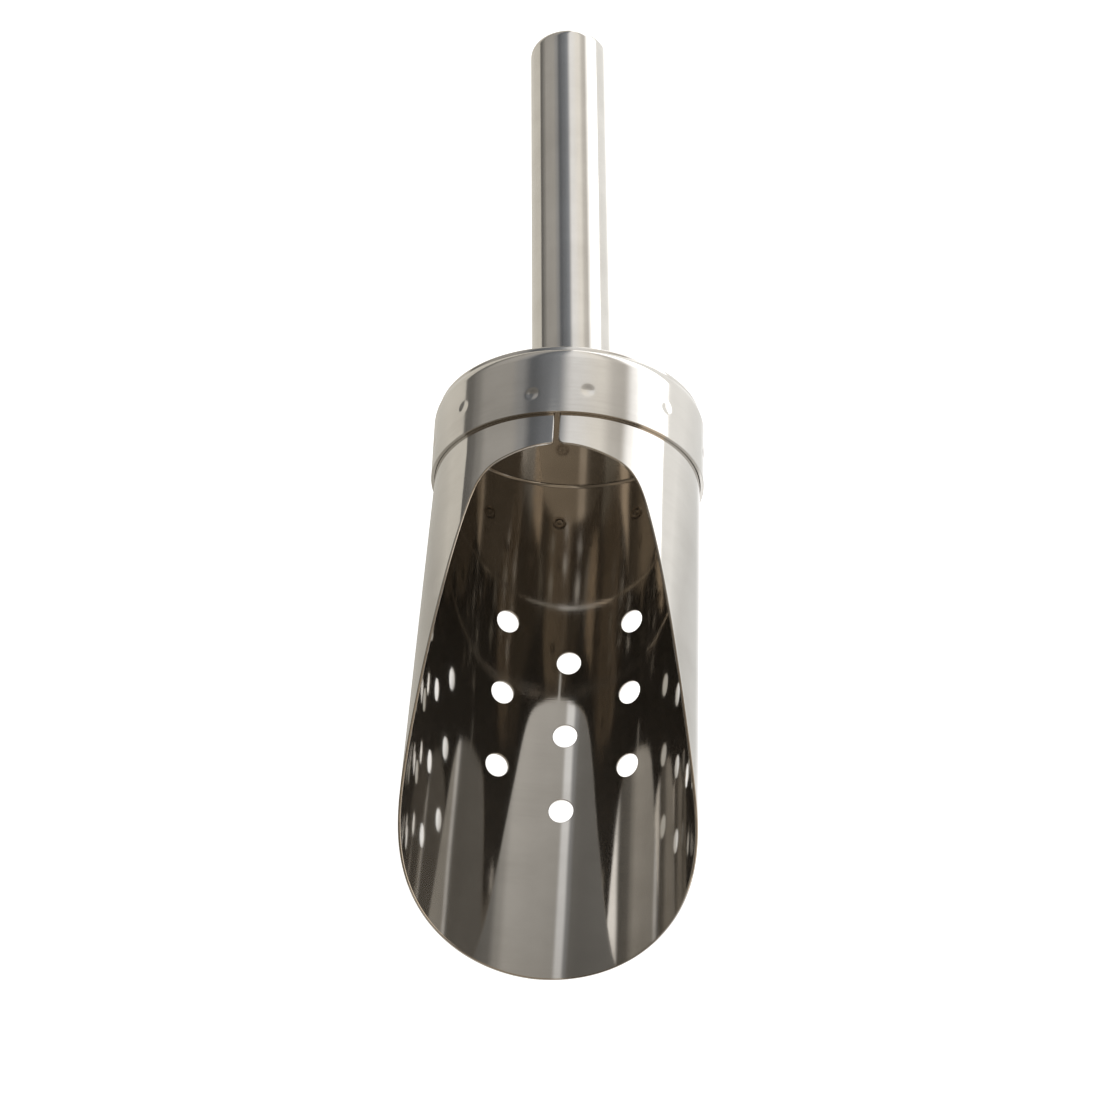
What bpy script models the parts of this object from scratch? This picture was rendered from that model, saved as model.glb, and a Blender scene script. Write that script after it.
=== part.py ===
"""Perforated ice scoop.

A punched sheet is rolled into an open-seamed bowl, its back end sits in a drawn end cap, and a
closed tube handle is fixed over a boss on the cap's back.  All four pieces are stainless steel.

Frame: +Z up, the mouth faces +Z, the nose points along -Y and the handle along +Y.  The origin is
the middle of the footprint, on the surface that the scoop lies on.  A station is a distance
forward of the end cap's front edge, towards the nose.  A bowl angle is measured round the bowl
from its lowest line, positive towards +X.
"""

import math

import bmesh
import bpy
from mathutils import Euler

MM = 0.001

# Driving dimensions, in millimetres and degrees.
GAP = 0.3                       # kept between pieces that touch
CAP_RADIUS = 31.4               # outside of the band, so also the height of the axis
CAP_DEPTH = 19.0                # front edge of the band to the back face
CAP_CORNER = 4.5                # outer corner radius
CAP_INNER_CORNER = 0.8
CAP_BAND = 0.6                  # band thickness
CAP_FLOOR = 0.7                 # back face thickness

BOWL_RADIUS = CAP_RADIUS - CAP_BAND - GAP
BOWL_SHEET = 0.7
BOWL_BACK = -(CAP_DEPTH - CAP_FLOOR - GAP)      # station of the bowl's back edge
BOWL_FLARE = 0.0225             # radius gained for each unit of station in front of the cap
BOWL_DRIFT = 0.0146             # how far the flared bowl leans to -X, per unit of station
SEAM_WIDTH = 1.1                # open seam along the top

HANDLE_RADIUS = 9.5
HANDLE_WALL = 1.0
HANDLE_REACH = 109.8            # from the cap's back face to the closed end
HANDLE_CORNER = 2.5
HANDLE_OFFSET = 0.7             # where its axis leaves the cap, towards +X
HANDLE_YAW = 2.4                # the tube is welded on this far out of line, towards -X

BOSS_HEIGHT = 9.0
BOSS_WALL = 1.0

HOLE_DIAMETER = 5.7
# One row for each line of holes: bowl angle, station of its first hole, pitch along the line.
HOLE_LINES = (
    (-28.6, 21.0, 18.8),
    (0.0, 30.2, 19.1),
    (28.6, 21.0, 18.8),
)
HOLES_PER_LINE = 3

# Where the cap stands, so that the whole scoop is centred on the origin.
CAP_X = 1.19
CAP_FRONT_Y = -9.7
AXIS_Z = CAP_RADIUS

# The blank's half outline as cubic Beziers of (bowl angle, station): round the nose, up the flank,
# round the mouth's back corner, and across to the seam.
SEAM_ANGLE = 180.0 - math.degrees(0.5 * SEAM_WIDTH / BOWL_RADIUS)
OUTLINE = (
    ((0.0, 109.6), (42.4, 109.6), (83.3, 94.9), (100.2, 80.8)),
    ((100.2, 80.8), (115.2, 68.3), (126.8, 38.4), (140.3, 19.5)),
    ((140.3, 19.5), (144.0, 14.4), (147.7, 11.8), (156.6, 10.3)),
    ((156.6, 10.3), (164.0, 9.1), (170.8, 8.0), (SEAM_ANGLE, 8.0)),
)
OUTLINE_STEPS = (10, 9, 5, 4)   # how many straight steps each curve is drawn with
BOWL_ROWS = 14                  # steps along the bowl, from its back edge to the outline

TURN_STEPS = 64
HANDLE_STEPS = 32
CORNER_STEPS = 6


def clear_scene():
    for old in list(bpy.data.objects):
        bpy.data.objects.remove(old, do_unlink=True)


def steel(name, shade, roughness):
    material = bpy.data.materials.new(name)
    material.use_nodes = True
    shader = material.node_tree.nodes["Principled BSDF"]
    shader.inputs["Base Color"].default_value = (shade, shade * 0.98, shade * 0.94, 1.0)
    shader.inputs["Metallic"].default_value = 1.0
    shader.inputs["Roughness"].default_value = roughness
    return material


def add_object(name, bm, material):
    """Make an object from a bmesh drawn in millimetres."""
    bmesh.ops.recalc_face_normals(bm, faces=bm.faces)
    if bm.calc_volume(signed=True) < 0:
        bmesh.ops.reverse_faces(bm, faces=bm.faces)
    bmesh.ops.scale(bm, vec=(MM, MM, MM), verts=bm.verts)
    mesh = bpy.data.meshes.new(name)
    bm.to_mesh(mesh)
    bm.free()
    mesh.materials.append(material)
    mesh.shade_smooth()
    mesh.set_sharp_from_angle(angle=math.radians(35))
    piece = bpy.data.objects.new(name, mesh)
    bpy.context.scene.collection.objects.link(piece)
    return piece


def bezier(points, fraction):
    rest = 1.0 - fraction
    weights = (rest ** 3, 3 * rest ** 2 * fraction, 3 * rest * fraction ** 2, fraction ** 3)
    return tuple(sum(w * p[axis] for w, p in zip(weights, points)) for axis in (0, 1))


def half_outline():
    """The blank's outline from the tip of the nose to the seam, as (bowl angle, station)."""
    samples = [OUTLINE[0][0]]
    for curve, steps in zip(OUTLINE, OUTLINE_STEPS):
        samples += [bezier(curve, step / steps) for step in range(1, steps + 1)]
    return samples


def bowl_point(angle, station, depth):
    """A point of the bowl, `depth` inside its outer surface.  Its lowest line stays level."""
    forward = max(station, 0.0)
    flare = BOWL_FLARE * forward
    radius = BOWL_RADIUS + flare - depth
    turn = math.radians(angle)
    x = CAP_X - BOWL_DRIFT * forward + radius * math.sin(turn)
    z = AXIS_Z + flare - radius * math.cos(turn)
    return (x, CAP_FRONT_Y - station, z)


def bowl_shell():
    """The rolled blank: strips that run from the back edge to the outline, inside and outside."""
    right = half_outline()
    columns = [(-angle, station) for angle, station in reversed(right[1:])] + right
    bm = bmesh.new()

    def grid(depth):
        rows = []
        for angle, end in columns:
            stations = (BOWL_BACK + (end - BOWL_BACK) * row / BOWL_ROWS for row in range(BOWL_ROWS + 1))
            rows.append([bm.verts.new(bowl_point(angle, station, depth)) for station in stations])
        return rows

    outer = grid(0.0)
    inner = grid(BOWL_SHEET)
    for column in range(len(columns) - 1):
        for side in (outer, inner):
            for row in range(BOWL_ROWS):
                bm.faces.new((side[column][row], side[column + 1][row],
                              side[column + 1][row + 1], side[column][row + 1]))
        for row in (0, BOWL_ROWS):
            bm.faces.new((outer[column][row], outer[column + 1][row],
                          inner[column + 1][row], inner[column][row]))
    for column in (0, len(columns) - 1):
        for row in range(BOWL_ROWS):
            bm.faces.new((outer[column][row], outer[column][row + 1],
                          inner[column][row + 1], inner[column][row]))
    return bm


def hole_cutter():
    """Every punch of the blank as one mesh of separate pins, each square to the sheet."""
    bm = bmesh.new()
    for angle, first, pitch in HOLE_LINES:
        for index in range(HOLES_PER_LINE):
            place = bowl_point(angle, first + index * pitch, BOWL_SHEET / 2)
            pin = bmesh.ops.create_cone(bm, cap_ends=True, segments=20, radius1=HOLE_DIAMETER / 2,
                                        radius2=HOLE_DIAMETER / 2, depth=6.0)
            tilt = Euler((0.0, math.radians(-angle), 0.0)).to_matrix()
            bmesh.ops.rotate(bm, verts=pin["verts"], matrix=tilt)
            bmesh.ops.translate(bm, verts=pin["verts"], vec=place)
    return bm


def make_bowl():
    bowl = add_object("scoop_body", bowl_shell(), steel("body_steel", 0.72, 0.16))
    cutter = add_object("hole_punches", hole_cutter(), bowl.data.materials[0])
    cutter.hide_render = True
    cutter.display_type = "WIRE"
    punch = bowl.modifiers.new("punch", "BOOLEAN")
    punch.operation = "DIFFERENCE"
    punch.object = cutter
    return bowl


def arc(centre, radius, start, end, steps=CORNER_STEPS):
    """Points round an arc in a turned profile, from one angle to another in degrees."""
    points = []
    for step in range(steps + 1):
        turn = math.radians(start + (end - start) * step / steps)
        points.append((centre[0] + radius * math.cos(turn), centre[1] + radius * math.sin(turn)))
    return points


def turned(profile, steps):
    """Spin a profile of (radius, height) about the local Z axis into a closed solid."""
    bm = bmesh.new()
    verts = [bm.verts.new((radius, 0.0, height)) for radius, height in profile]
    edges = [bm.edges.new(pair) for pair in zip(verts, verts[1:])]
    bmesh.ops.spin(bm, geom=verts + edges, cent=(0, 0, 0), axis=(0, 0, 1), dvec=(0, 0, 0),
                   angle=math.tau, steps=steps, use_merge=True)
    bmesh.ops.remove_doubles(bm, verts=bm.verts, dist=0.0001)
    return bm


def lay_down(piece, x, y, yaw=0.0):
    """Point a turned piece's local Z along +Y, with its origin on the scoop's axis height."""
    piece.rotation_euler = Euler((math.radians(-90), 0.0, math.radians(yaw)), "XYZ")
    piece.location = (x * MM, y * MM, AXIS_Z * MM)


def make_end_cap():
    floor = CAP_DEPTH - CAP_FLOOR
    bore = CAP_RADIUS - CAP_BAND
    profile = [(0.0, CAP_DEPTH)]
    corner = (CAP_RADIUS - CAP_CORNER, CAP_DEPTH - CAP_CORNER)
    profile += arc(corner, CAP_CORNER, 90, 0)
    profile += [(CAP_RADIUS, 0.0), (bore, 0.0)]
    corner = (bore - CAP_INNER_CORNER, floor - CAP_INNER_CORNER)
    profile += arc(corner, CAP_INNER_CORNER, 0, 90, 2)
    profile += [(0.0, floor)]
    cap = add_object("end_cap", turned(profile, TURN_STEPS), steel("cap_steel", 0.75, 0.14))
    lay_down(cap, CAP_X, CAP_FRONT_Y)
    return cap


def place_on_handle_axis(piece, height):
    """Stand a turned piece on the cap's back face, `height` above it, in line with the handle."""
    lean = math.radians(HANDLE_YAW)
    x = CAP_X + HANDLE_OFFSET - height * math.sin(lean)
    y = CAP_FRONT_Y + CAP_DEPTH + height * math.cos(lean)
    lay_down(piece, x, y, HANDLE_YAW)


def make_handle_tube():
    """The tube's base clears the cap's face, also on the side that its lean brings closer."""
    base = GAP + HANDLE_RADIUS * math.sin(math.radians(HANDLE_YAW))
    inside = HANDLE_RADIUS - HANDLE_WALL
    inner_corner = HANDLE_CORNER - HANDLE_WALL
    profile = [(0.0, HANDLE_REACH)]
    profile += arc((HANDLE_RADIUS - HANDLE_CORNER, HANDLE_REACH - HANDLE_CORNER), HANDLE_CORNER, 90, 0)
    profile += [(HANDLE_RADIUS, base), (inside, base)]
    corner = (inside - inner_corner, HANDLE_REACH - HANDLE_WALL - inner_corner)
    profile += arc(corner, inner_corner, 0, 90, 4)
    profile += [(0.0, HANDLE_REACH - HANDLE_WALL)]
    tube = add_object("handle_tube", turned(profile, HANDLE_STEPS), steel("handle_steel", 0.75, 0.12))
    place_on_handle_axis(tube, 0.0)
    return tube


def make_handle_boss():
    """A drawn cup inside the tube's base, its closed end against the cap."""
    radius = HANDLE_RADIUS - HANDLE_WALL - GAP
    base = GAP + radius * math.sin(math.radians(HANDLE_YAW))
    top = base + BOSS_HEIGHT
    inside = radius - BOSS_WALL
    profile = [(0.0, base), (radius - BOSS_WALL, base), (radius, base + BOSS_WALL), (radius, top),
               (inside, top), (inside, base + BOSS_WALL), (0.0, base + BOSS_WALL)]
    boss = add_object("handle_boss", turned(profile, HANDLE_STEPS), steel("boss_steel", 0.68, 0.35))
    place_on_handle_axis(boss, 0.0)
    return boss


clear_scene()
make_bowl()
make_end_cap()
make_handle_tube()
make_handle_boss()
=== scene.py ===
"""Looks of the perforated ice scoop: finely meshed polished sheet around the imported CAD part.

Lengths in the building code are millimetres in the CAD's own frame.  A station is a distance
forward of the end cap's front edge, towards the nose.  A bowl angle is measured round the bowl from
its lowest line, a band angle round the cap from its highest line, both positive towards +X.
"""

import math

import bpy
import numpy as np
from mathutils import Matrix, Vector, geometry


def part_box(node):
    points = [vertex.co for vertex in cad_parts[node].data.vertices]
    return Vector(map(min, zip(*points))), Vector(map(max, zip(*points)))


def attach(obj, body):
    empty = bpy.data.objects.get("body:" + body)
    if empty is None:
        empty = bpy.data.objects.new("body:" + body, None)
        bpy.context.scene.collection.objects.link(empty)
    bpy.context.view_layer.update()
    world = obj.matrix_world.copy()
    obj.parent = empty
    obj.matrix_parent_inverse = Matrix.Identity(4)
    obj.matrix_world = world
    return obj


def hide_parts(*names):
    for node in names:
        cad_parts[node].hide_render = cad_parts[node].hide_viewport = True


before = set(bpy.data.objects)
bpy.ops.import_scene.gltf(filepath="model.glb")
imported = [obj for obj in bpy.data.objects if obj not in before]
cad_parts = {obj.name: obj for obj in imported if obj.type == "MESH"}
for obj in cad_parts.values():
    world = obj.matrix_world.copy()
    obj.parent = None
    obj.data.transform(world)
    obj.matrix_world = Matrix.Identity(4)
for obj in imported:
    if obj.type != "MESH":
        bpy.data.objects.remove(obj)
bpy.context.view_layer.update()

MM = 0.001
TAU = math.tau

# ---------------------------------------------------------------- dimensions shared with the CAD
cap_low, cap_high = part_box("end_cap")
CAP_X = 0.5 * (cap_low.x + cap_high.x) / MM
AXIS_Z = 0.5 * (cap_low.z + cap_high.z) / MM
CAP_FRONT_Y = cap_low.y / MM
CAP_DEPTH = (cap_high.y - cap_low.y) / MM
CAP_RADIUS = 31.4
CAP_CORNER = 4.5
CAP_INNER_CORNER = 0.8
BAND_LOOK = 0.8                 # the band's thickness here; the CAD's is 0.6, with a gap inside it
CAP_FLOOR = 0.7

BOWL_RADIUS = 30.5
BOWL_SHEET = 0.7
BOWL_BACK = -18.0
BOWL_FLARE = 0.0225
BOWL_DRIFT = 0.0146
FLARE_BLEND = 5.0               # half length over which the flare sets in
SEAM_LEFT = 178.3               # bowl angles of the seam's two cut edges
SEAM_RIGHT = 179.6
SEAM_CORNER = 1.4               # corner radius of the sheet right of the seam
SEAM_LEFT_CORNER = 0.25

HANDLE_RADIUS = 9.5
HANDLE_WALL = 1.0
HANDLE_REACH = 109.8
HANDLE_CORNER = 2.5
HANDLE_OFFSET = 0.7
HANDLE_YAW = 2.4

HOLE_DIAMETER = 5.7
HOLE_LINES = (                  # bowl angle, station of the first hole, pitch
    (-28.6, 21.0, 18.8),
    (0.0, 30.2, 19.1),
    (28.6, 21.0, 18.8),
)
HOLES_PER_LINE = 3
OUTLINE = (                     # half outline of the blank, cubic Beziers of (bowl angle, station)
    ((0.0, 109.6), (42.4, 109.6), (83.3, 94.9), (100.2, 80.8)),
    ((100.2, 80.8), (115.2, 68.3), (126.8, 38.4), (140.3, 19.5)),
    ((140.3, 19.5), (144.0, 14.4), (147.7, 11.8), (156.6, 10.3)),
    ((156.6, 10.3), (164.0, 9.1), (170.8, 8.0), (180.0, 8.0)),
)

# ---------------------------------------------------------------- finish of the edges and welds
EDGE_ROUND = 0.3                # polished over cut edges of the sheet
HOLE_ROUND = 0.16
WELDS = (                       # band angle and station of each spot weld
    (-45.8, -7.5), (-11.3, -5.0), (11.6, -6.0), (48.5, -7.7), (84.0, -6.8), (118.0, -7.2),
    (150.5, -8.5), (-172.4, -7.9), (-137.7, -6.5), (-102.0, -7.0), (-74.0, -6.6),
)
DENT_DEPTH = 0.16
DENT_WIDTH = 1.15
HANDLE_DENTS = (                # band angle, height, depth and width of the marks at its foot
    (-28.0, 4.6, 0.05, 1.1), (-14.0, 3.2, 0.05, 1.0), (22.0, 3.6, 0.05, 1.1),
)

# ---------------------------------------------------------------- fineness of the meshes
ROUND_STEPS = (0.0, 0.30, 0.60, 0.85, 1.0)     # where the rounding's rings stand, as a share of it
CURVE_STEPS = 80
CORNER_STEPS = 12
MOUTH_SPACING = 0.8
BACK_SPACING = 1.2
HOLE_STEPS = 56
SHEET_GRID = (1.35, 1.5)        # round the bowl and along it
GRID_MARGIN = 1.35              # between the grid and the outline
HOLE_MARGIN = 1.1               # between the grid and a hole
SUPPORT = 0.45                  # a last ring, this far beyond the rounding, keeps the face even
CAP_STEPS = 420
HANDLE_STEPS = 160
WELD_STEPS = 28


def smooth_forward(station):
    """Station along the flared part, easing in over the first few millimetres."""
    s = np.clip(np.asarray(station, float), -FLARE_BLEND, None)
    eased = (s + FLARE_BLEND) ** 2 / (4 * FLARE_BLEND)
    return np.where(s < FLARE_BLEND, eased, s)


def forward_slope(station):
    s = np.asarray(station, float)
    return np.clip((s + FLARE_BLEND) / (2 * FLARE_BLEND), 0.0, 1.0)


def bowl_surface(angle, station, depth):
    """Points of the bowl `depth` inside its outer face, with outward unit normals."""
    turn = np.radians(angle)
    forward = smooth_forward(station)
    slope = forward_slope(station)
    flare = BOWL_FLARE * forward
    radius = BOWL_RADIUS + flare - depth
    sin, cos = np.sin(turn), np.cos(turn)
    points = np.stack([CAP_X - BOWL_DRIFT * forward + radius * sin,
                       CAP_FRONT_Y - np.asarray(station, float),
                       AXIS_Z + flare - radius * cos], axis=-1)
    tilt = slope * (sin * BOWL_DRIFT + cos * BOWL_FLARE - BOWL_FLARE)
    normals = np.stack([sin, -tilt, -cos], axis=-1)
    normals /= np.linalg.norm(normals, axis=-1)[..., None]
    return points, normals


def make_mesh(name, points, normals, faces, materials):
    """A smooth mesh with its own vertex normals, from millimetre points."""
    mesh = bpy.data.meshes.new(name)
    mesh.from_pydata((np.asarray(points) * MM).tolist(), [], faces)
    mesh.validate()
    mesh.shade_smooth()
    if normals is not None:
        mesh.normals_split_custom_set_from_vertices(np.asarray(normals).tolist())
    for material in materials:
        mesh.materials.append(material)
    piece = bpy.data.objects.new(name, mesh)
    bpy.context.scene.collection.objects.link(piece)
    return piece


# ---------------------------------------------------------------- the rolled and punched bowl
def bezier(points, fraction):
    rest = 1.0 - fraction
    weights = (rest ** 3, 3 * rest ** 2 * fraction, 3 * rest * fraction ** 2, fraction ** 3)
    return np.array([sum(w * p[axis] for w, p in zip(weights, points)) for axis in (0, 1)])


def flat(angle, station):
    """Unrolled place of a bowl point: arc length round the bowl, and station."""
    return np.array([math.radians(angle) * BOWL_RADIUS, station])


def resample(path, spacing):
    """A polyline redrawn with nearly even steps."""
    path = np.asarray(path)
    lengths = np.concatenate([[0], np.cumsum(np.linalg.norm(np.diff(path, axis=0), axis=1))])
    count = max(2, int(round(lengths[-1] / spacing)) + 1)
    at = np.linspace(0, lengths[-1], count)
    return np.stack([np.interp(at, lengths, path[:, k]) for k in (0, 1)], axis=1)


def half_outline(seam_angle, corner):
    """From the nose's tip to the back end of one seam edge, in unrolled millimetres."""
    path = []
    for curve in OUTLINE:
        for step in range(CURVE_STEPS):
            angle, station = bezier(curve, step / CURVE_STEPS)
            path.append(flat(angle, station))
    edge = math.radians(seam_angle) * BOWL_RADIUS
    top = OUTLINE[-1][-1][1]
    path = [p for p in path if p[0] < edge - corner - 0.05]
    for step in range(CORNER_STEPS + 1):
        turn = 0.5 * math.pi * step / CORNER_STEPS
        path.append(np.array([edge - corner + corner * math.sin(turn),
                              top - corner + corner * math.cos(turn)]))
    return np.array(path), edge


def blank_outline():
    """The closed outline of the blank, counter-clockwise, in unrolled millimetres."""
    right, right_edge = half_outline(SEAM_RIGHT, SEAM_CORNER)
    left, left_edge = half_outline(SEAM_LEFT, SEAM_LEFT_CORNER)
    left = left * [-1, 1]
    nose = np.concatenate([right[::-1], left[1:]])
    nose = resample(nose, MOUTH_SPACING)
    back_left = np.array([-left_edge, BOWL_BACK])
    back_right = np.array([right_edge, BOWL_BACK])
    down = resample([nose[-1], back_left], BACK_SPACING)[1:-1]
    across = resample([back_left, back_right], BACK_SPACING)
    up = resample([back_right, nose[0]], BACK_SPACING)[1:-1]
    return np.concatenate([nose, down, across, up])


def outward_normals(loop):
    """Directions out of a counter-clockwise loop at its corners."""
    ahead = np.roll(loop, -1, axis=0) - loop
    behind = loop - np.roll(loop, 1, axis=0)
    ahead /= np.linalg.norm(ahead, axis=1)[:, None]
    behind /= np.linalg.norm(behind, axis=1)[:, None]
    along = ahead + behind
    along /= np.linalg.norm(along, axis=1)[:, None]
    return np.stack([along[:, 1], -along[:, 0]], axis=1)


def cut_edges():
    """Every cut edge of the unrolled blank: its loop, the way out, its rounding, and if it's a hole."""
    outline = blank_outline()
    loops = [(outline, outward_normals(outline), EDGE_ROUND, False)]
    for angle, first, pitch in HOLE_LINES:
        for index in range(HOLES_PER_LINE):
            station = first + index * pitch
            spread = 1.0 + BOWL_FLARE * station / BOWL_RADIUS
            turns = np.linspace(0, TAU, HOLE_STEPS + 1)[:-1]
            ring = np.stack([np.cos(turns), np.sin(turns)], axis=1)
            size = 0.5 * HOLE_DIAMETER
            loop = flat(angle, station) + ring * [size / spread, size]
            loops.append((loop, -ring, HOLE_ROUND, True))
    return loops


def inside(points, loop):
    """Which points lie inside a closed loop."""
    hit = np.zeros(len(points), bool)
    ends = np.roll(loop, -1, axis=0)
    for (x0, y0), (x1, y1) in zip(loop, ends):
        if y0 == y1:
            continue
        crosses = (y0 > points[:, 1]) != (y1 > points[:, 1])
        at = x0 + (points[:, 1] - y0) * (x1 - x0) / (y1 - y0)
        hit ^= crosses & (points[:, 0] < at)
    return hit


def nearest(points, loop):
    """Distance of each point from a loop's corners."""
    best = np.full(len(points), np.inf)
    for corner in loop:
        best = np.minimum(best, np.hypot(points[:, 0] - corner[0], points[:, 1] - corner[1]))
    return best


def make_bowl(material):
    """The punched sheet, meshed flat between rings round its cut edges, then rolled up."""
    loops = cut_edges()
    flats, psi, outs = [], [], []           # place, turn from the sheet's face, way out of the edge
    constraint = []
    edge_rows = []                          # for each loop, the indices of its outermost ring
    holes = []
    for loop, out, rounding, hole in loops:
        rings = []
        for share in ROUND_STEPS:
            angle = 0.5 * math.pi * (1 - share)
            ring = loop - out * (rounding * (1 - math.sin(angle)))
            start = len(flats)
            rings.append(range(start, start + len(ring)))
            flats += list(ring)
            psi += [angle] * len(ring)
            outs += list(out)
            constraint += [(start + k, start + (k + 1) % len(ring)) for k in range(len(ring))]
        support = loop - out * (rounding + SUPPORT)
        flats += list(support)
        psi += [0.0] * len(support)
        outs += list(out)
        edge_rows.append(rings[0])
        if hole:
            holes.append(loop)

    outline = loops[0][0]
    across = np.arange(-96.0, 96.0, SHEET_GRID[0])
    along = np.arange(-17.0, 109.0, SHEET_GRID[1])
    grid = np.stack(np.meshgrid(across, along, indexing="ij"), axis=-1).reshape(-1, 2)
    grid = grid[inside(grid, outline)]
    grid = grid[nearest(grid, outline) > GRID_MARGIN]
    for hole in holes:
        grid = grid[np.hypot(*(grid - hole.mean(axis=0)).T) > 0.5 * HOLE_DIAMETER + HOLE_MARGIN]
    flats += list(grid)
    psi += [0.0] * len(grid)
    outs += [np.array([0.0, 0.0])] * len(grid)

    flats = np.array(flats)
    psi = np.array(psi)
    outs = np.array(outs)
    result = geometry.delaunay_2d_cdt([Vector(p) for p in flats], constraint, [], 0, 1e-6)
    places = np.array([tuple(p) for p in result[0]])
    first = np.array([o[0] if len(o) else -1 for o in result[3]])     # the point each came from
    faces = np.array([f for f in result[2] if len(f) == 3])
    middle = places[faces].mean(axis=1)
    keep = inside(middle, outline)
    for hole in holes:
        keep &= ~inside(middle, hole)
    faces = faces[keep]
    a, b, c = places[faces[:, 0]], places[faces[:, 1]], places[faces[:, 2]]
    area = (b[:, 0] - a[:, 0]) * (c[:, 1] - a[:, 1]) - (b[:, 1] - a[:, 1]) * (c[:, 0] - a[:, 0])
    faces = faces[np.abs(area) > 1e-9]
    area = area[np.abs(area) > 1e-9]
    faces[area < 0] = faces[area < 0][:, ::-1]

    place_psi = np.where(first >= 0, psi[first], 0.0)
    place_out = np.where(first[:, None] >= 0, outs[first], 0.0)
    index_of = {int(o): n for n, o in enumerate(first)}
    rounding = np.full(len(places), EDGE_ROUND)
    edge_count = len(outline) * (len(ROUND_STEPS) + 1)
    rounding[(first >= edge_count) & (place_psi > 0)] = HOLE_ROUND

    angle = np.degrees(places[:, 0] / BOWL_RADIUS)
    station = places[:, 1]
    sink = rounding * (1 - np.cos(place_psi))

    def side(depth, sign):
        """One face of the sheet: +1 outside, -1 inside."""
        here = depth + sign * sink
        points, radial = bowl_surface(angle, station, here)
        turn = np.radians(angle)
        round_way = np.stack([np.cos(turn), np.zeros_like(turn), np.sin(turn)], axis=-1)
        along_way = np.array([0.0, -1.0, 0.0])
        edge_way = place_out[:, :1] * round_way + place_out[:, 1:] * along_way
        normals = np.cos(place_psi)[:, None] * radial * sign + np.sin(place_psi)[:, None] * edge_way
        normals /= np.linalg.norm(normals, axis=1)[:, None]
        return points, normals

    outer, outer_normals = side(0.0, 1)
    inner, inner_normals = side(BOWL_SHEET, -1)
    count = len(places)
    polygons = faces.tolist() + (faces[:, ::-1] + count).tolist()
    for ring, (_, _, _, hole) in zip(edge_rows, loops):
        ring = [index_of[i] for i in ring]
        for k, here in enumerate(ring):
            after = ring[(k + 1) % len(ring)]
            quad = (here, here + count, after + count, after)
            polygons.append(quad if not hole else quad[::-1])
    points = np.concatenate([outer, inner])
    normals = np.concatenate([outer_normals, inner_normals])
    return make_mesh("scoop_bowl", points, normals, polygons, [material])


# ---------------------------------------------------------------- turned pieces
def arc(centre, radius, start, end, steps, flip=1.0):
    """Profile points round an arc: (radius, height, normal's radius, normal's height)."""
    rows = []
    for step in range(steps + 1):
        turn = math.radians(start + (end - start) * step / steps)
        rows.append((centre[0] + radius * math.cos(turn), centre[1] + radius * math.sin(turn),
                     flip * math.cos(turn), flip * math.sin(turn)))
    return rows


def straight(start, end, normal, step):
    """Profile points strictly between two ends."""
    length = math.dist(start, end)
    count = max(1, int(round(length / step)))
    return [(start[0] + (end[0] - start[0]) * k / count, start[1] + (end[1] - start[1]) * k / count,
             *normal) for k in range(1, count)]


def lathe(name, profile, steps, place, material, dents=()):
    """Turn a closed profile that starts and ends on its axis.

    `place` turns (radial x, radial z, height) into a point.  Dents sink the outer wall only.
    """
    rows = np.array(profile)
    turns = np.linspace(0, TAU, steps + 1)[:-1]
    radius = np.repeat(rows[1:-1, 0][:, None], steps, axis=1)
    height = np.repeat(rows[1:-1, 1][:, None], steps, axis=1)
    n_r = np.repeat(rows[1:-1, 2][:, None], steps, axis=1)
    n_h = np.repeat(rows[1:-1, 3][:, None], steps, axis=1)
    n_t = np.zeros_like(n_r)
    theta = np.repeat(turns[None, :], len(rows) - 2, axis=0)
    outer = (n_r > 0.99)
    for band_angle, at_height, depth, width in dents:
        off = (theta - math.radians(band_angle) + math.pi) % TAU - math.pi
        u = off * radius
        v = height - at_height
        bump = depth * np.exp(-((u * u + v * v) / width ** 2) ** 1.5) * outer
        # slopes of the sunk surface tip the normals
        q = (u * u + v * v) / width ** 2
        gain = depth * np.exp(-q ** 1.5) * 3.0 * np.sqrt(q) / width ** 2 * outer
        radius = radius - bump
        n_t = n_t - gain * u
        n_h = n_h - gain * v
    sin, cos = np.sin(theta), np.cos(theta)
    x, z = radius * sin, radius * cos
    nx, nz = n_r * sin + n_t * cos, n_r * cos - n_t * sin
    points = np.stack([x, z, height], axis=-1).reshape(-1, 3)
    normals = np.stack([nx, nz, n_h], axis=-1).reshape(-1, 3)
    ends = np.array([[0, 0, rows[0, 1]], [0, 0, rows[-1, 1]]])
    end_normals = np.array([[0, 0, rows[0, 3]], [0, 0, rows[-1, 3]]])
    points, normals = place(np.concatenate([points, ends]), np.concatenate([normals, end_normals]))
    count = len(rows) - 2
    faces = []
    for row in range(count - 1):
        for k in range(steps):
            nxt = (k + 1) % steps
            here, after = row * steps, (row + 1) * steps
            faces.append((after + k, after + nxt, here + nxt, here + k))
    first, last = count * steps, count * steps + 1
    for k in range(steps):
        nxt = (k + 1) % steps
        faces.append((first, k, nxt))
        faces.append((last, (count - 1) * steps + nxt, (count - 1) * steps + k))
    normals /= np.linalg.norm(normals, axis=1)[:, None]
    return make_mesh(name, points, normals, faces, [material])


def place_cap(points, normals):
    out = np.stack([CAP_X + points[:, 0], CAP_FRONT_Y + points[:, 2], AXIS_Z + points[:, 1]], axis=1)
    turned = np.stack([normals[:, 0], normals[:, 2], normals[:, 1]], axis=1)
    return out, turned


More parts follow.
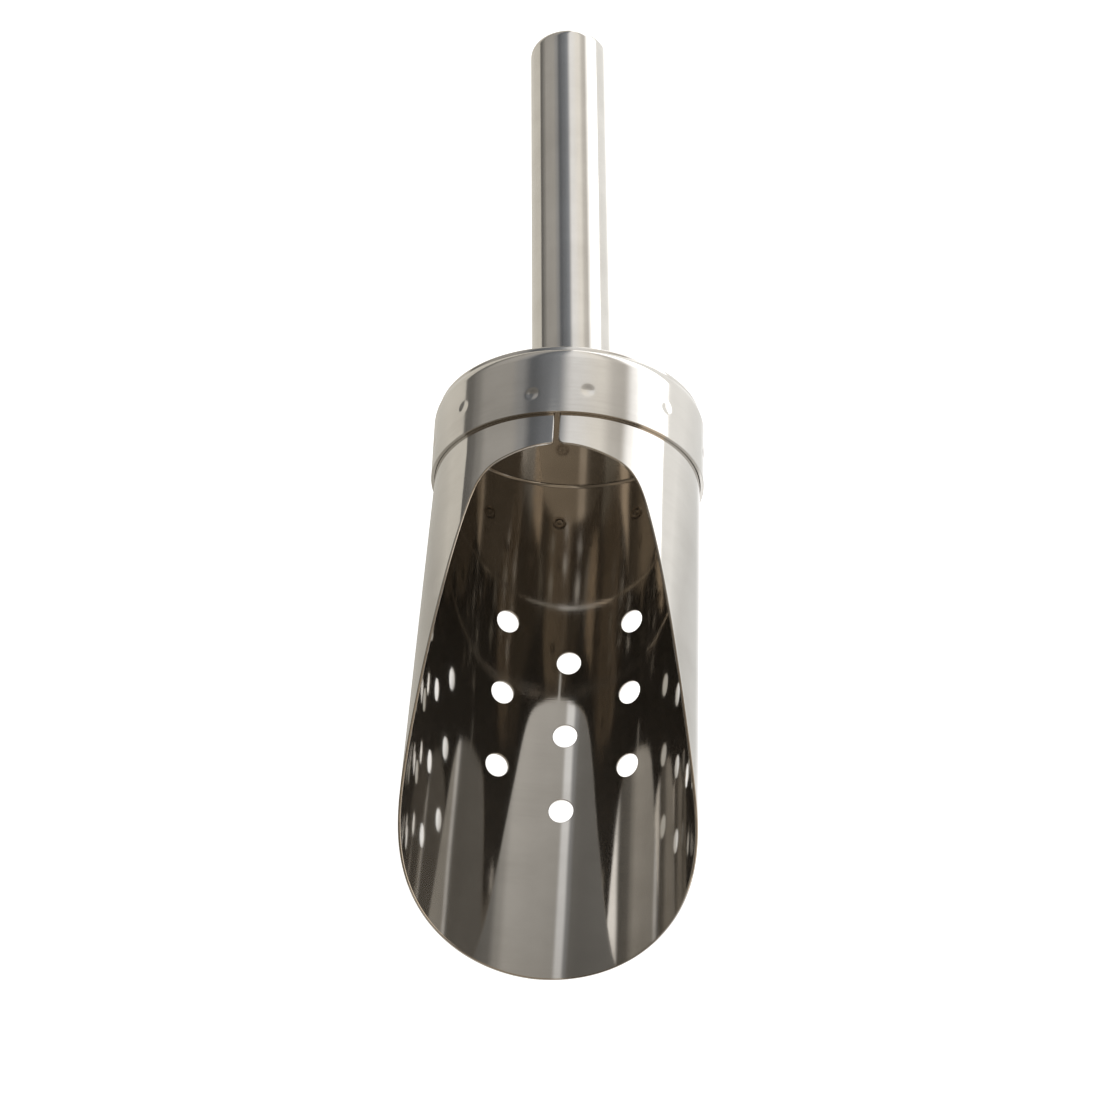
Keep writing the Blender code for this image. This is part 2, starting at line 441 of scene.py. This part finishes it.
def make_cap(material):
    lip = 0.15
    nib = 0.1
    corner = (CAP_RADIUS - CAP_CORNER, CAP_DEPTH - CAP_CORNER)
    bore = CAP_RADIUS - BAND_LOOK
    floor = CAP_DEPTH - CAP_FLOOR
    inner = (bore - CAP_INNER_CORNER, floor - CAP_INNER_CORNER)
    profile = [(0.0, CAP_DEPTH, 0.0, 1.0)]
    profile += straight((0.0, CAP_DEPTH), (corner[0], CAP_DEPTH), (0.0, 1.0), 2.0)
    profile += arc(corner, CAP_CORNER, 90, 0, 18)
    profile += straight((CAP_RADIUS, corner[1]), (CAP_RADIUS, lip), (1.0, 0.0), 0.42)
    profile += arc((CAP_RADIUS - lip, lip), lip, 0, -90, 5)
    profile += arc((bore + nib, nib), nib, -90, -180, 4)
    profile += straight((bore, nib), (bore, inner[1]), (-1.0, 0.0), 1.5)
    profile += arc(inner, CAP_INNER_CORNER, 0, 90, 6, flip=-1.0)
    profile += straight((inner[0], floor), (0.0, floor), (0.0, -1.0), 2.0)
    profile += [(0.0, floor, 0.0, -1.0)]
    dents = [(angle, -station, DENT_DEPTH, DENT_WIDTH) for angle, station in WELDS]
    return lathe("end_cap_shell", profile, CAP_STEPS, place_cap, material, dents)


def place_handle(points, normals):
    lean = math.radians(HANDLE_YAW)
    side = np.array([math.cos(lean), math.sin(lean), 0.0])
    up = np.array([0.0, 0.0, 1.0])
    along = np.array([-math.sin(lean), math.cos(lean), 0.0])
    base = np.array([CAP_X + HANDLE_OFFSET, CAP_FRONT_Y + CAP_DEPTH, AXIS_Z])
    axes = np.stack([side, up, along])
    out = base + points @ axes
    foot = points[:, 2] < 1.0                   # the open end is drawn to just clear of the cap
    out[foot, 1] = base[1] + 0.02
    return out, normals @ axes


def make_handle(material):
    foot = 0.6
    inside_radius = HANDLE_RADIUS - HANDLE_WALL
    inner_corner = HANDLE_CORNER - HANDLE_WALL
    corner = (HANDLE_RADIUS - HANDLE_CORNER, HANDLE_REACH - HANDLE_CORNER)
    profile = [(0.0, HANDLE_REACH, 0.0, 1.0)]
    profile += straight((0.0, HANDLE_REACH), (corner[0], HANDLE_REACH), (0.0, 1.0), 1.5)
    profile += arc(corner, HANDLE_CORNER, 90, 0, 14)
    profile += straight((HANDLE_RADIUS, corner[1]), (HANDLE_RADIUS, foot), (1.0, 0.0), 0.9)
    profile += [(HANDLE_RADIUS, foot, 1.0, 0.0), (inside_radius, foot, -1.0, 0.0)]
    inner = (inside_radius - inner_corner, HANDLE_REACH - HANDLE_WALL - inner_corner)
    profile += straight((inside_radius, foot), (inside_radius, inner[1]), (-1.0, 0.0), 6.0)
    profile += arc(inner, inner_corner, 0, 90, 6, flip=-1.0)
    profile += [(0.0, HANDLE_REACH - HANDLE_WALL, 0.0, -1.0)]
    return lathe("handle_shell", profile, HANDLE_STEPS, place_handle, material, HANDLE_DENTS)


# ---------------------------------------------------------------- spot weld marks inside the bowl
def make_weld_marks(material):
    """Shallow ring and dot pressed up on the bowl's inner face behind each spot weld."""
    heights = ((0.0, 0.075), (0.25, 0.07), (0.45, 0.01), (0.7, -0.01), (0.95, 0.03), (1.15, 0.085),
               (1.35, 0.085), (1.55, 0.03), (1.8, 0.0), (2.0, -0.04))
    points, faces = [], []
    for band_angle, station in WELDS:
        angle = 180.0 - band_angle if band_angle > 0 else -180.0 - band_angle
        base = len(points)
        for radius, height in heights:
            for k in range(WELD_STEPS if radius > 0 else 1):
                turn = TAU * k / WELD_STEPS
                around = angle + math.degrees(radius * math.cos(turn) / BOWL_RADIUS)
                along = station + radius * math.sin(turn)
                points.append(bowl_surface(around, along, BOWL_SHEET + height)[0])
        for k in range(WELD_STEPS):
            faces.append((base, base + 1 + (k + 1) % WELD_STEPS, base + 1 + k))
        for ring in range(len(heights) - 2):
            a = base + 1 + ring * WELD_STEPS
            for k in range(WELD_STEPS):
                nxt = (k + 1) % WELD_STEPS
                faces.append((a + k, a + nxt, a + WELD_STEPS + nxt, a + WELD_STEPS + k))
    return make_mesh("spot_weld_marks", points, None, faces, [material])


# ---------------------------------------------------------------- materials
def noise(tree, coordinates, scale, detail=2.0, roughness=0.5):
    mapping = tree.nodes.new("ShaderNodeMapping")
    mapping.inputs["Scale"].default_value = scale
    tree.links.new(coordinates, mapping.inputs["Vector"])
    made = tree.nodes.new("ShaderNodeTexNoise")
    made.inputs["Scale"].default_value = 1.0
    made.inputs["Detail"].default_value = detail
    made.inputs["Roughness"].default_value = roughness
    tree.links.new(mapping.outputs["Vector"], made.inputs["Vector"])
    return made.outputs["Fac"]


def ranged(tree, value, low, high, from_low=0.3, from_high=0.7):
    made = tree.nodes.new("ShaderNodeMapRange")
    made.inputs["From Min"].default_value = from_low
    made.inputs["From Max"].default_value = from_high
    made.inputs["To Min"].default_value = low
    made.inputs["To Max"].default_value = high
    tree.links.new(value, made.inputs["Value"])
    return made.outputs["Result"]


def math_node(tree, operation, a, b):
    made = tree.nodes.new("ShaderNodeMath")
    made.operation = operation
    for socket, value in zip(made.inputs, (a, b)):
        if isinstance(value, (int, float)):
            socket.default_value = value
        else:
            tree.links.new(value, socket)
    return made.outputs[0]


METALLIC = 0.94                 # short of 1 for the faint haze that lifts its darkest places
SMUDGE = 0.03
WAVE = 0.15                     # depth in millimetres of the sheet's waviness


def polished_steel(name, colour, dull, rough, lines, line_depth):
    """Polished stainless steel: fine lines, faint wiping smudges and slightly wavy sheet."""
    material = bpy.data.materials.new(name)
    material.use_nodes = True
    tree = material.node_tree
    shader = tree.nodes["Principled BSDF"]
    shader.inputs["Metallic"].default_value = METALLIC
    place = tree.nodes.new("ShaderNodeTexCoord").outputs["Object"]

    fine = noise(tree, place, lines, 3.0, 0.6)
    wipes = noise(tree, place, (60.0, 90.0, 60.0), 4.0, 0.55)
    broad = noise(tree, place, (28.0, 16.0, 28.0), 2.0, 0.5)

    mix = tree.nodes.new("ShaderNodeMix")
    mix.data_type = "RGBA"
    mix.inputs[6].default_value = (*colour, 1.0)
    mix.inputs[7].default_value = (*dull, 1.0)
    tint = math_node(tree, "MULTIPLY", ranged(tree, wipes, 0.0, 1.0), ranged(tree, fine, 0.6, 1.0))
    tree.links.new(tint, mix.inputs[0])
    tree.links.new(mix.outputs[2], shader.inputs["Base Color"])

    roughness = math_node(tree, "ADD", ranged(tree, fine, rough * 0.85, rough * 1.2),
                          ranged(tree, wipes, 0.0, SMUDGE))
    tree.links.new(roughness, shader.inputs["Roughness"])

    bump = tree.nodes.new("ShaderNodeBump")
    bump.inputs["Strength"].default_value = 1.0
    bump.inputs["Distance"].default_value = line_depth
    tree.links.new(fine, bump.inputs["Height"])
    sway = tree.nodes.new("ShaderNodeBump")
    sway.inputs["Strength"].default_value = 1.0
    sway.inputs["Distance"].default_value = WAVE * MM
    tree.links.new(broad, sway.inputs["Height"])
    tree.links.new(bump.outputs["Normal"], sway.inputs["Normal"])
    tree.links.new(sway.outputs["Normal"], shader.inputs["Normal"])
    return material


def steel_parts():
    """The finishes of the sheet, the cap, the tube, the weld marks and the boss."""
    warm, dull = (0.69, 0.665, 0.63), (0.60, 0.575, 0.54)
    burnt, scale = (0.5, 0.46, 0.41), (0.3, 0.26, 0.22)
    raw, worn = (0.6, 0.58, 0.55), (0.45, 0.43, 0.4)
    return (
        polished_steel("sheet_steel", warm, dull, 0.045, (30.0, 2600.0, 30.0), 0.0000025),
        polished_steel("cap_steel", warm, dull, 0.09, (30.0, 1500.0, 30.0), 0.0000008),
        polished_steel("tube_steel", warm, dull, 0.08, (900.0, 30.0, 900.0), 0.0000005),
        polished_steel("weld_steel", burnt, scale, 0.2, (700.0, 700.0, 700.0), 0.00001),
        polished_steel("drawn_steel", raw, worn, 0.32, (40.0, 1200.0, 40.0), 0.000004),
    )


# ---------------------------------------------------------------- studio
def emission(name):
    material = bpy.data.materials.new(name)
    material.use_nodes = True
    tree = material.node_tree
    tree.nodes.clear()
    out = tree.nodes.new("ShaderNodeOutputMaterial")
    light = tree.nodes.new("ShaderNodeEmission")
    tree.links.new(light.outputs[0], out.inputs[0])
    return material, tree, light


def colour_ramp(tree, value, stops, top):
    """Colours by place; a ramp holds none above 1, so they are stored as a share of `top`."""
    ramp = tree.nodes.new("ShaderNodeValToRGB")
    ramp.color_ramp.interpolation = "EASE"
    marks = ramp.color_ramp.elements
    while len(marks) > 1:
        marks.remove(marks[-1])
    for index, (place, colour) in enumerate(stops):
        mark = marks[0] if index == 0 else marks.new(place)
        mark.position = place
        mark.color = (*(c / top for c in colour), 1.0)
    tree.links.new(value, ramp.inputs["Fac"])
    return ramp.outputs["Color"]


# The tent's panels round the scoop, as (turn from overhead towards +X in degrees, brightness, tint).
WARM = (1.0, 0.965, 0.90)
NEUTRAL = (1.0, 1.0, 1.0)
COOL = (0.90, 0.96, 1.05)
BACK_PANELS = (                 # seen in the handle and the band
    (-110.0, 0.45, WARM), (-96.0, 0.24, WARM), (-90.0, 0.13, WARM), (-83.0, 0.16, WARM),
    (-76.0, 0.26, WARM), (-67.0, 0.40, WARM), (-44.0, 0.41, WARM), (-35.0, 0.33, NEUTRAL),
    (-26.0, 0.14, COOL), (-14.0, 0.21, COOL), (-6.0, 0.28, COOL), (6.0, 0.98, NEUTRAL),
    (28.0, 0.98, WARM), (40.0, 0.66, WARM), (46.0, 0.62, WARM), (56.0, 1.5, NEUTRAL),
    (64.0, 2.4, NEUTRAL), (110.0, 2.4, NEUTRAL),
)
FRONT_PANELS = (                # seen in the bowl
    (-110.0, 0.24, WARM), (-60.0, 0.24, WARM), (-49.0, 0.24, WARM), (-23.0, 0.22, WARM),
    (-17.0, 0.24, WARM), (-13.0, 0.40, NEUTRAL), (-10.5, 1.15, NEUTRAL), (-7.0, 1.15, NEUTRAL),
    (-4.0, 0.60, WARM), (10.0, 0.64, WARM), (32.0, 0.72, WARM), (39.0, 0.52, WARM),
    (46.0, 0.26, WARM), (60.0, 0.20, WARM), (68.0, 2.4, NEUTRAL), (110.0, 2.4, NEUTRAL),
)
FRONT_TINT = (1.0, 0.84, 0.66)  # the dim room behind the camera
RING_SPREAD = 120.0             # the rings' ramps run from minus this to plus this angle
RING_TOP = 3.0                  # brightness that the ramps' colours are a share of
RING_CHANGE = (0.275, 0.305)    # along Y in metres, where the bowl's ring gives way to the other
ROOM_END = (-0.10, 0.12)        # where the dim room gives way to the studio, and
STUDIO_END = (0.12, 0.42)       # where the studio brightens towards its far end
ROOM_LEVELS = (2.2, 3.0)
STUDIO_LEVELS = (0.62, 1.15)
TENT_RADIUS = 0.55
TENT_BACK = 1.2
TENT_FRONT = -1.0


def make_tent():
    """A closed tube of light along the scoop, seen only in its reflections."""
    material, tree, light = emission("tent_light")
    place = tree.nodes.new("ShaderNodeTexCoord").outputs["Object"]
    split = tree.nodes.new("ShaderNodeSeparateXYZ")
    tree.links.new(place, split.inputs[0])
    turn = math_node(tree, "ARCTAN2", split.outputs["X"], split.outputs["Z"])
    share = ranged(tree, turn, 0.0, 1.0, math.radians(-RING_SPREAD), math.radians(RING_SPREAD))
    rings = [colour_ramp(tree, share, [((angle + RING_SPREAD) / (2 * RING_SPREAD), [level * c for c in tint])
                                       for angle, level, tint in panels], RING_TOP)
             for panels in (FRONT_PANELS, BACK_PANELS)]
    ring = tree.nodes.new("ShaderNodeMix")
    ring.data_type = "RGBA"
    tree.links.new(ranged(tree, split.outputs["Y"], 0.0, 1.0, *RING_CHANGE), ring.inputs[0])
    tree.links.new(rings[0], ring.inputs[6])
    tree.links.new(rings[1], ring.inputs[7])
    front = tree.nodes.new("ShaderNodeMix")
    front.data_type = "RGBA"
    front.blend_type = "MULTIPLY"
    front.inputs[7].default_value = (*FRONT_TINT, 1.0)
    tree.links.new(ranged(tree, split.outputs["Y"], 1.0, 0.0, *ROOM_END), front.inputs[0])
    tree.links.new(ring.outputs[2], front.inputs[6])
    tree.links.new(front.outputs[2], light.inputs["Color"])
    fade = ranged(tree, split.outputs["Y"], *ROOM_LEVELS, *ROOM_END)
    back = ranged(tree, split.outputs["Y"], *STUDIO_LEVELS, *STUDIO_END)
    tree.links.new(math_node(tree, "MULTIPLY", fade, back), light.inputs["Strength"])
    steps = 96
    points = []
    for y in (TENT_FRONT, TENT_BACK):
        points += [(TENT_RADIUS * math.sin(TAU * k / steps), y, TENT_RADIUS * math.cos(TAU * k / steps))
                   for k in range(steps)]
    faces = [(k, (k + 1) % steps, steps + (k + 1) % steps, steps + k) for k in range(steps)]
    faces += [tuple(range(steps)), tuple(range(2 * steps - 1, steps - 1, -1))]
    mesh = bpy.data.meshes.new("light_tent")
    mesh.from_pydata(points, [], faces)
    mesh.materials.append(material)
    tent = bpy.data.objects.new("light_tent", mesh)
    bpy.context.scene.collection.objects.link(tent)
    tent.visible_camera = False
    tent.visible_shadow = False


def flat_sheet(name, material, height):
    mesh = bpy.data.meshes.new(name)
    size = 6.0
    corners = [(-size, -size, 0), (size, -size, 0), (size, size, 0), (-size, size, 0)]
    mesh.from_pydata(corners, [], [(0, 1, 2, 3)])
    mesh.materials.append(material)
    sheet = bpy.data.objects.new(name, mesh)
    sheet.location.z = height
    bpy.context.scene.collection.objects.link(sheet)
    return sheet


def make_floor():
    """The white paper that the camera sees.  The steel reflects the floor glow instead."""
    material = bpy.data.materials.new("floor_paper")
    material.use_nodes = True
    shader = material.node_tree.nodes["Principled BSDF"]
    shader.inputs["Base Color"].default_value = (0.9, 0.9, 0.9, 1.0)
    shader.inputs["Roughness"].default_value = 0.8
    shader.inputs["Emission Color"].default_value = (1.0, 1.0, 1.0, 1.0)
    shader.inputs["Emission Strength"].default_value = 1.0
    floor = flat_sheet("floor", material, -0.0003)
    floor.visible_glossy = False


# The floor as the steel sees it, along X in metres: dim on the left, bright under the scoop.
FLOOR_GLOW = (
    (-0.10, (0.74, 0.71, 0.64)), (-0.006, (0.74, 0.71, 0.64)), (0.002, (1.8, 1.8, 1.8)),
    (0.030, (1.8, 1.8, 1.8)), (0.050, (1.1, 1.1, 1.08)), (0.10, (1.1, 1.1, 1.08)),
)


def make_floor_glow():
    """The sheet of light that the steel reflects below the horizon."""
    material, tree, light = emission("floor_glow")
    place = tree.nodes.new("ShaderNodeTexCoord").outputs["Object"]
    split = tree.nodes.new("ShaderNodeSeparateXYZ")
    tree.links.new(place, split.inputs[0])
    low, high = FLOOR_GLOW[0][0], FLOOR_GLOW[-1][0]
    stops = [((x - low) / (high - low), colour) for x, colour in FLOOR_GLOW]
    ramp = colour_ramp(tree, ranged(tree, split.outputs["X"], 0.0, 1.0, low, high), stops, 2.0)
    tree.links.new(ramp, light.inputs["Color"])
    tree.links.new(ranged(tree, split.outputs["Y"], 1.4, 2.0, 0.0, 0.06), light.inputs["Strength"])
    glow = flat_sheet("floor_glow", material, -0.0006)
    glow.visible_camera = False
    glow.visible_diffuse = False
    glow.visible_shadow = False


def make_world():
    world = bpy.data.worlds.new("studio")
    bpy.context.scene.world = world
    world.use_nodes = True
    world.node_tree.nodes["Background"].inputs["Color"].default_value = (0.95, 0.95, 0.95, 1.0)
    world.node_tree.nodes["Background"].inputs["Strength"].default_value = 1.0


CAMERA_AZIMUTH = 8.3808
CAMERA_ELEVATION = 59.0824
CAMERA_ROLL = -7.3519
CAMERA_DISTANCE = 0.693364
CAMERA_AIM = Vector((-0.00129, -0.03285, 0.0416))


def make_camera():
    data = bpy.data.cameras.new("camera")
    data.lens = 101.45
    data.sensor_width = 36.0
    camera = bpy.data.objects.new("camera", data)
    bpy.context.scene.collection.objects.link(camera)
    azimuth, elevation = math.radians(CAMERA_AZIMUTH), math.radians(CAMERA_ELEVATION)
    back = Vector((math.sin(azimuth) * math.cos(elevation), -math.cos(azimuth) * math.cos(elevation),
                   math.sin(elevation)))
    camera.location = CAMERA_AIM + back * CAMERA_DISTANCE
    level = back.to_track_quat("Z", "Y").to_matrix()
    turned = level @ Matrix.Rotation(math.radians(CAMERA_ROLL), 3, "Z")
    camera.rotation_euler = turned.to_euler()
    bpy.context.scene.camera = camera


# ---------------------------------------------------------------- assembly
sheet, cap_finish, tube_finish, weld_finish, drawn_finish = steel_parts()

bowl = make_bowl(sheet)
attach(bowl, "root")
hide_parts("scoop_body")

cap = make_cap(cap_finish)
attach(cap, "root")
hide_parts("end_cap")

handle = make_handle(tube_finish)
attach(handle, "root")
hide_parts("handle_tube")

marks = make_weld_marks(weld_finish)
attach(marks, "root")

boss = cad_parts["handle_boss"]
for slot in boss.material_slots:
    slot.material = drawn_finish

make_tent()
make_floor()
make_floor_glow()
make_world()
make_camera()
bpy.context.scene.view_settings.view_transform = "Standard"
